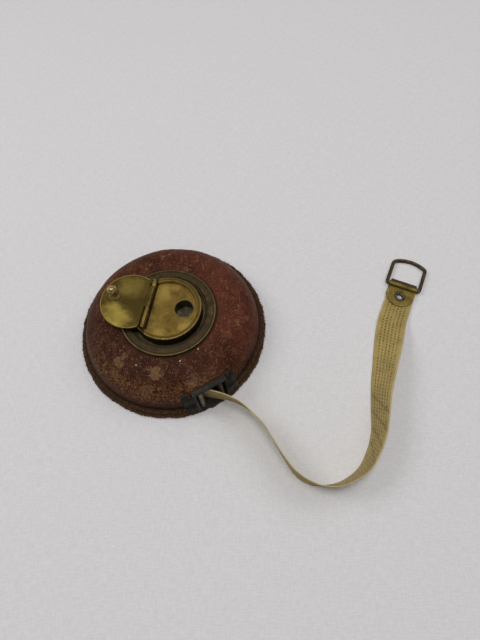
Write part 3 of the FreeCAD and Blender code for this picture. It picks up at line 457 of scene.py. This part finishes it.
def boss_material():
    # The pale rings are painted highlights on the boss's outer and inner lips; the dark rings are painted
    # shade about the lip and at the foot of the recess wall.
    rings = (Ring(17.5, 1.5, (0.06, 0.04, 0.013), 0.75), Ring(BOSS_R / MM - 0.35, 0.3, PALE_BRASS, 0.4),
             Ring(16.45, 0.25, PALE_BRASS, 0.35), Ring(16.05, 0.35, (0.05, 0.035, 0.012), 0.8))
    return brass_material("boss_brass", WARM_BRASS, patch_mm=4.5, shift=0.03, spots=RECESS_SPOTS,
                          rings=rings, painted_shade=boss_wall_shade)


def flap_material():
    return brass_material("flap_brass", FLAP_BRASS, patch_mm=7.0, rough=(0.5, 0.3), spots=FLAP_SPOTS,
                          rim=(FLAP_MIDDLE, FLAP_R), painted_shade=hinge_channel_shade)


def iron_material():
    """Blackened sheet: nearly black, brown and grey where it has worn."""
    m = Material("blackened_iron", Metallic=0.35, Specular_IOR_Level=0.3)
    cloud = m.noise(0.25, detail=6.0, rough=0.7, bend=0.3)
    fine = m.noise(1.8, detail=4.0)
    m.colour = m.mix(m.step(cloud, 0.4, 0.7), (0.014, 0.013, 0.010), (0.04, 0.036, 0.027))
    m.tint((0.15, 0.135, 0.095), m.step(fine, 0.58, 0.72), 0.5)
    return m.surface(m.step(cloud, 0.3, 0.7, 0.75, 0.52), fine, 0.08)


def wire_material(name, dark, worn):
    """Bronzed wire, paler where it has worn."""
    m = Material(name, Metallic=0.85)
    fine = m.noise(2.4, detail=4.0)
    m.colour = m.mix(m.step(m.noise(0.45, detail=5.0, rough=0.7), 0.42, 0.7), dark, worn)
    return m.surface(m.step(fine, 0.3, 0.7, 0.62, 0.42), fine, 0.07)


def steel_material():
    m = Material("plain_steel", Metallic=1.0)
    fine = m.noise(2.0, detail=5.0)
    m.colour = m.mix(m.step(fine, 0.35, 0.7), (0.16, 0.15, 0.13), (0.34, 0.33, 0.31))
    return m.surface(m.step(fine, 0.3, 0.7, 0.32, 0.5), fine, 0.04)


# ---- cloth materials ----------------------------------------------------------------------------
def coil_material():
    """Edges of the wound cloth, one turn against the next."""
    turn_mm = 0.3
    m = Material("wound_cloth", Specular_IOR_Level=0.2)
    m.colour = m.mix(m.step(m.noise(0.5, detail=5.0), 0.35, 0.7), (0.2, 0.14, 0.06), (0.32, 0.24, 0.12))
    return m.surface(0.85, m.math("SINE", m.times(m.radius, 2 * math.pi / turn_mm)), 0.08)


def tape_material():
    """Woven cloth with dark dashed scale lines, pale selvedges, and creases near the bend."""
    m = Material("woven_tape", Specular_IOR_Level=0.22, Sheen_Weight=0.12)
    cloth_place = m.node("ShaderNodeUVMap", uv_map="along_and_across").outputs[0]
    split = m.node("ShaderNodeSeparateXYZ", cloth_place)
    along = m.times(split.outputs[0], 1 / MM)
    across = split.outputs[1]
    flat = m.node("ShaderNodeCombineXYZ", along, m.times(across, TAPE_W / MM), 0.0).outputs[0]
    thread = m.noise(1.5, detail=3.0, place=flat)
    stain = m.noise(0.11, detail=5.0, rough=0.65, place=flat)
    m.colour = m.mix(m.step(stain, 0.36, 0.66), (0.44, 0.325, 0.104), (0.32, 0.232, 0.066))
    m.tint((0.56, 0.45, 0.19), m.step(thread, 0.4, 0.7), 0.45)
    m.tint((0.075, 0.048, 0.018), scale_lines(m, along, across, flat), 0.9)
    m.tint((0.13, 0.09, 0.045), dried_creases(m, along, across, flat), 0.5)
    m.tint((0.6, 0.48, 0.25), m.math("MAXIMUM", m.step(across, 0.06, 0.03), m.step(across, 0.94, 0.97)), 0.6)
    rib_mm, warp_threads = 0.55, 30
    ribs = m.math("SINE", m.times(along, 2 * math.pi / rib_mm))
    warps = m.math("SINE", m.times(across, 2 * math.pi * warp_threads))
    return m.surface(0.82, m.plus(m.times(ribs, warps, 0.5), thread), 0.12)


def scale_lines(m, along, across, flat):
    """1 in the dashes of the woven lines that run along the tape, faded here and there."""
    line_count, dash_mm, dash_shift = 8.0, 1.9, 0.41
    lanes = m.times(across, line_count)
    line = m.step(m.apart(m.math("FRACT", lanes), 0.5), 0.24, 0.13)
    phase = m.plus(m.math("DIVIDE", along, dash_mm), m.times(m.math("FLOOR", lanes), dash_shift))
    dash = m.step(m.apart(m.math("FRACT", phase), 0.5), 0.36, 0.24)
    faded = m.step(m.noise(0.3, detail=4.0, place=flat), 0.3, 0.62, 0.3, 1.0)
    return m.times(line, dash, m.step(across, 0.09, 0.12), m.step(across, 0.91, 0.88), faded)


def dried_creases(m, along, across, flat):
    """1 in the few slanting creases where the cloth has dried in folds."""
    slope_mm, gap_mm, first_mm, last_mm = 14.0, 8.8, 145.0, 179.0
    slant = m.plus(along, m.times(across, slope_mm))
    crease = m.apart(m.math("FRACT", m.math("DIVIDE", slant, gap_mm)), 0.5)
    return m.times(m.step(crease, 0.17, 0.03), m.step(slant, first_mm - 2.0, first_mm + 2.0),
                   m.step(slant, last_mm + 2.0, last_mm - 2.0),
                   m.step(m.noise(0.35, place=flat), 0.2, 0.42))


def floor_material():
    """Pale cloth with a faint linen weave."""
    m = Material("pale_cloth", Specular_IOR_Level=0.15)
    weft, warp = [m.noise(1.5, detail=2.0, place=m.stretched(scale))
                  for scale in ((6.0, 1.0, 1.0), (1.0, 6.0, 1.0))]
    weave = m.times(m.plus(weft, warp), 0.5)
    m.colour = m.mix(m.step(weave, 0.36, 0.64), (0.71, 0.705, 0.72), (0.775, 0.775, 0.795))
    return m.surface(0.92, weave, 0.25)


# ---- helpers for pieces -------------------------------------------------------------------------
def piece(name, mesh, material, body):
    """A new visible piece that rides on a body and stands under a material of the record."""
    made = bpy.data.objects.new(name, mesh)
    scene.collection.objects.link(made)
    mesh.materials.clear()
    mesh.materials.append(material)
    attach(made, body)
    return made


def paint(node, material):
    """Gives a CAD node its material; its mesh stays as it is."""
    for place in nodes[node].material_slots:
        place.material = material


def evaluated_mesh(thing):
    """The thing's mesh with its modifiers applied."""
    return bpy.data.meshes.new_from_object(thing.evaluated_get(bpy.context.evaluated_depsgraph_get()))


def waves(place, layers):
    """A sum of noises; each layer is its waves per unit of place and its height."""
    return sum(noise.noise(place * pace) * height for pace, height in layers)


# ---- leather ------------------------------------------------------------------------------------
def softened(node, rounds):
    """A copy of a CAD node's mesh with its edges rounded as leather's are."""
    work = bpy.data.objects.new("work", nodes[node].data.copy())
    scene.collection.objects.link(work)
    remesh = work.modifiers.new("remesh", "REMESH")
    remesh.mode = "VOXEL"
    remesh.voxel_size = LEATHER_VOXEL
    remesh.use_smooth_shade = True
    relax = work.modifiers.new("relax", "SMOOTH")
    relax.factor = 0.5
    relax.iterations = rounds
    mesh = evaluated_mesh(work)
    bpy.data.objects.remove(work)
    return mesh


def roughen(mesh, rim_r, edge_below):
    """Low waves in the leather, and a ragged, wandering cut edge below a height."""
    edge_from = rim_r - CUT_EDGE
    moved = []
    for vertex in mesh.vertices:
        place = vertex.co / MM
        radius = math.hypot(vertex.co.x, vertex.co.y)
        offset = vertex.normal * waves(place, LEATHER_WAVES) * MM
        if radius > edge_from and vertex.co.z < edge_below:
            around = Vector((vertex.co.x, vertex.co.y, 0)).normalized()
            share = min((radius - edge_from) / MM, 1.0)
            ragged = waves(around, RAGGED_ROUND_THE_RIM) + waves(place, RAGGED_GRAIN)
            offset += around * ragged * share * MM
        moved.extend(vertex.co + offset)
    mesh.vertices.foreach_set("co", moved)
    mesh.update()
    return mesh


def front_leather():
    mesh = roughen(softened("front_cover", rounds=5), FLANGE_R, FLANGE_TOP + 0.6 * MM)
    made = piece("front_leather", mesh, front_leather_material(), "case")
    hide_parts("front_cover")


def back_leather():
    mesh = roughen(softened("back_cover", rounds=3), CASE_R, CASE_TOP)
    lifted = [part for vertex in mesh.vertices for part in (vertex.co.x, vertex.co.y, max(vertex.co.z, 0.0))]
    mesh.vertices.foreach_set("co", lifted)
    made = piece("back_leather", mesh, back_leather_material(), "case")
    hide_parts("back_cover")


def fibre_points(chance, angle):
    """Seven points of one bent, tapering fibre that stands out of a cut edge at an angle."""
    upper = chance.random() < FIBRES_ON_FRONT
    radius = (FLANGE_R if upper else CASE_R) - FIBRE_ROOT * MM
    low, high = (FLANGE_LOW + 0.3 * MM, FLANGE_TOP) if upper else (0.4 * MM, FLANGE_LOW)
    out = Vector((math.cos(angle), math.sin(angle), 0))
    along = Vector((-out.y, out.x, 0))
    root = out * radius + UP * chance.uniform(low, high)
    lean = out + along * chance.uniform(-0.9, 0.9) + UP * chance.uniform(-0.25, 0.7)
    tip = root + lean.normalized() * chance.uniform(*FIBRE_LENGTH) * MM
    tip.z = max(tip.z, LOWEST)
    middle = (root + tip) / 2 + UP * chance.uniform(*FIBRE_BOW) * MM
    width = chance.uniform(*FIBRE_WIDTH) * MM
    points = []
    for place, size in ((root, width), (middle, width * FIBRE_TAPER)):
        points += [place + along * size, place + (UP - along / 2) * size, place - (UP + along / 2) * size]
    return points + [tip]


def edge_fibres():
    """Short fibres that stand out of the cut edges of both leathers, except at the mouth."""
    chance = random.Random(7)
    points, faces = [], []
    for _ in range(FIBRES):
        angle = chance.uniform(-math.pi, math.pi)
        off_mouth = (angle - MOUTH_TURN + math.pi) % (2 * math.pi) - math.pi
        if abs(off_mouth) < MOUTH_HALF_TURN:
            continue
        root, middle, tip = len(points), len(points) + 3, len(points) + 6
        points += fibre_points(chance, angle)
        for corner in range(3):
            following = (corner + 1) % 3
            faces.append((root + corner, root + following, middle + following, middle + corner))
            faces.append((middle + corner, middle + following, tip))
    mesh = bpy.data.meshes.new("edge_fibres")
    mesh.from_pydata(points, [], faces)
    piece("edge_fibres", mesh, fibre_material(), "case")


# ---- tape -----------------------------------------------------------------------------------------
def spline_points(name, places):
    """Points along a smooth NURBS spline whose control points are the places."""
    curve = bpy.data.curves.new(name, "CURVE")
    curve.dimensions = "3D"
    curve.resolution_u = 16
    spline = curve.splines.new("NURBS")
    spline.points.add(len(places) - 1)
    for point, place in zip(spline.points, places):
        point.co = (*place, 1.0)
    spline.order_u = 3
    spline.use_endpoint_u = True
    work = bpy.data.objects.new(name, curve)
    scene.collection.objects.link(work)
    mesh = evaluated_mesh(work)
    points = [vertex.co.copy() for vertex in mesh.vertices]
    bpy.data.objects.remove(work)
    return points


def tape_section():
    """Offsets across and through the tape, and the share across it, all round its section."""
    half_w, half_t = TAPE_W / 2, TAPE_T / 2
    upper = []
    for lane in range(TAPE_LANES + 1):
        share = 2.0 * lane / TAPE_LANES - 1.0
        swell = 1.0 if abs(share) < SELVEDGE_FROM else SELVEDGE_SWELL
        upper.append((share * half_w, half_t * swell, (share + 1) / 2))
    lower = [(across, -through, share) for across, through, share in reversed(upper)]
    return upper + lower


def tape_surface(route, leans, section):
    """The tape's points, section by section, and where each lies along and across the cloth."""
    points, cloth_places, walked = [], [], 0.0
    for index, (centre, lean) in enumerate(zip(route, leans)):
        before, after = route[max(index - 1, 0)], route[min(index + 1, len(route) - 1)]
        ahead = (after - before).normalized()
        walked += (centre - route[index - 1]).length if index else 0.0
        right = ahead.cross(UP).normalized()
        upward = right.cross(ahead)
        loose = min(walked, TAPE_LENGTH - walked) / TAPE_LENGTH
        turn = lean.x + noise.noise(Vector((walked * TWIST_PACE, 3.1, 0))) * loose * TWIST
        across = upward * math.cos(turn) + right * math.sin(turn)
        through = across.cross(ahead)
        for off, depth, share in section:
            ripple = noise.noise(Vector((walked * RIPPLE_PACE, share * RIPPLE_ACROSS, 7.7)))
            place = centre + across * off + through * (depth + ripple * loose * RIPPLE)
            place.z = max(place.z, LOWEST)
            points.append(place)
            cloth_places.append((walked, share))
    return points, cloth_places


def tape_faces(points, around):
    """Walls from each section to the next and the two ends, left open where the eyelet passes."""
    eyelet = (Vector(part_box("clip_eyelet")[0]) + Vector(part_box("clip_eyelet")[1])) / 2
    sections = len(points) // around
    faces = []
    for first in range(0, (sections - 1) * around, around):
        for corner in range(around):
            following = (corner + 1) % around
            face = (first + corner, first + following, first + around + following, first + around + corner)
            if all((points[index] - eyelet).xy.length > EYELET_HOLE_R for index in face):
                faces.append(face)
    faces.append(tuple(range(around)))
    faces.append(tuple(reversed(range((sections - 1) * around, sections * around))))
    return faces


def tape():
    route = spline_points("route", [Vector(row[:3]) * MM for row in TAPE_ROUTE])
    leans = spline_points("leans", [Vector((math.radians(row[3]), index * 0.1, 0))
                                    for index, row in enumerate(TAPE_ROUTE)])
    section = tape_section()
    points, cloth_places = tape_surface(route, leans, section)
    mesh = bpy.data.meshes.new("tape")
    mesh.from_pydata(points, [], tape_faces(points, len(section)))
    layer = mesh.uv_layers.new(name="along_and_across")
    for loop in mesh.loops:
        layer.data[loop.index].uv = cloth_places[loop.vertex_index]
    mesh.polygons.foreach_set("use_smooth", [True] * len(mesh.polygons))
    made = piece("tape", mesh, tape_material(), "case")
    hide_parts("tape_strip")


# ---- hard pieces ----------------------------------------------------------------------------------
def painted_nodes():
    """Paints every CAD node that no softer piece replaces."""
    painted = (
        (bezel_material(), "bezel_ring"),
        (boss_material(), "winding_boss"),
        (flap_material(), "handle_flap"),
        (brass_material("knob_brass", KNOB_BRASS, patch_mm=3.5, rough=(0.42, 0.22)), "knob", "knob_post"),
        (brass_material("clip_brass", CLIP_BRASS, patch_mm=5.0), "end_clip"),
        (brass_material("eyelet_brass", EYELET_BRASS, patch_mm=2.0), "clip_eyelet"),
        (brass_material("roller_brass", ROLLER_BRASS, patch_mm=3.0), "roller_left", "roller_right"),
        (brass_material("pocket_brass", POCKET_BRASS, patch_mm=2.0), "knob_pocket"),
        (brass_material("inner_brass", WARM_BRASS), "bezel_clamp_ring", "bezel_studs", "back_plate",
         "inner_plate", "back_rivets", "mouth_rivets", "hub", "hub_bush"),
        (iron_material(), "mouth_frame", "roller_pin_left", "roller_pin_right"),
        (steel_material(), "spindle", "spindle_washer", "spindle_screw", "drum_pins", "tape_anchor",
         "hinge_pin"),
        (wire_material("ring_bronze", (0.06, 0.042, 0.022), (0.15, 0.105, 0.055)), "pull_ring"),
        (wire_material("bar_bronze", (0.045, 0.03, 0.016), (0.1, 0.07, 0.035)), "stop_bar"),
        (thread_material(), "rim_stitches"),
        (coil_material(), "tape_coil"),
    )
    for material, *names in painted:
        for name in names:
            paint(name, material)


# ---- floor, light and camera ----------------------------------------------------------------------
def floor():
    corners = [(x * FLOOR_HALF, y * FLOOR_HALF, -FLOOR_DROP) for x, y in ((-1, -1), (1, -1), (1, 1), (-1, 1))]
    mesh = bpy.data.meshes.new("floor")
    mesh.from_pydata(corners, [], [(0, 1, 2, 3)])
    mesh.materials.append(floor_material())
    made = bpy.data.objects.new("floor", mesh)
    scene.collection.objects.link(made)


def area_light(name, place, target, size, power, colour):
    data = bpy.data.lights.new(name, "AREA")
    data.shape = "DISK"
    data.size = size
    data.energy = power
    data.color = colour
    lamp = bpy.data.objects.new(name, data)
    lamp.location = place
    lamp.rotation_euler = (Vector(target) - Vector(place)).to_track_quat("-Z", "Y").to_euler()
    scene.collection.objects.link(lamp)


def lights():
    area_light("key", (-0.8, 0.25, 0.85), (0.03, 0.0, 0), size=0.6, power=3.7, colour=KEY_WHITE)
    area_light("fill", (0.7, 0.45, 1.0), (0.05, 0, 0), size=0.9, power=3.1, colour=FILL_WHITE)
    area_light("ceiling", (0.03, -0.1, 1.3), (0.05, 0, 0), size=0.5, power=5.6, colour=ROOM_WHITE)
    world = bpy.data.worlds.new("studio")
    world.use_nodes = True
    background = world.node_tree.nodes["Background"]
    background.inputs["Color"].default_value = (*ROOM_WHITE, 1.0)
    background.inputs["Strength"].default_value = 0.2
    scene.world = world
    scene.view_settings.view_transform = "Standard"


def camera():
    data = bpy.data.cameras.new("camera")
    data.sensor_fit = "VERTICAL"
    data.sensor_height = 36.0
    data.lens = 27.0
    data.clip_start = 0.01
    made = bpy.data.objects.new("camera", data)
    made.matrix_world = (Matrix.Translation(CAMERA_PLACE) @ Matrix.Rotation(math.pi / 2 - CAMERA_DIP, 4, "X")
                         @ Matrix.Rotation(CAMERA_ROLL, 4, "Z"))
    scene.collection.objects.link(made)
    scene.camera = made


camera()
tape()
front_leather()
back_leather()
edge_fibres()
painted_nodes()
floor()
lights()
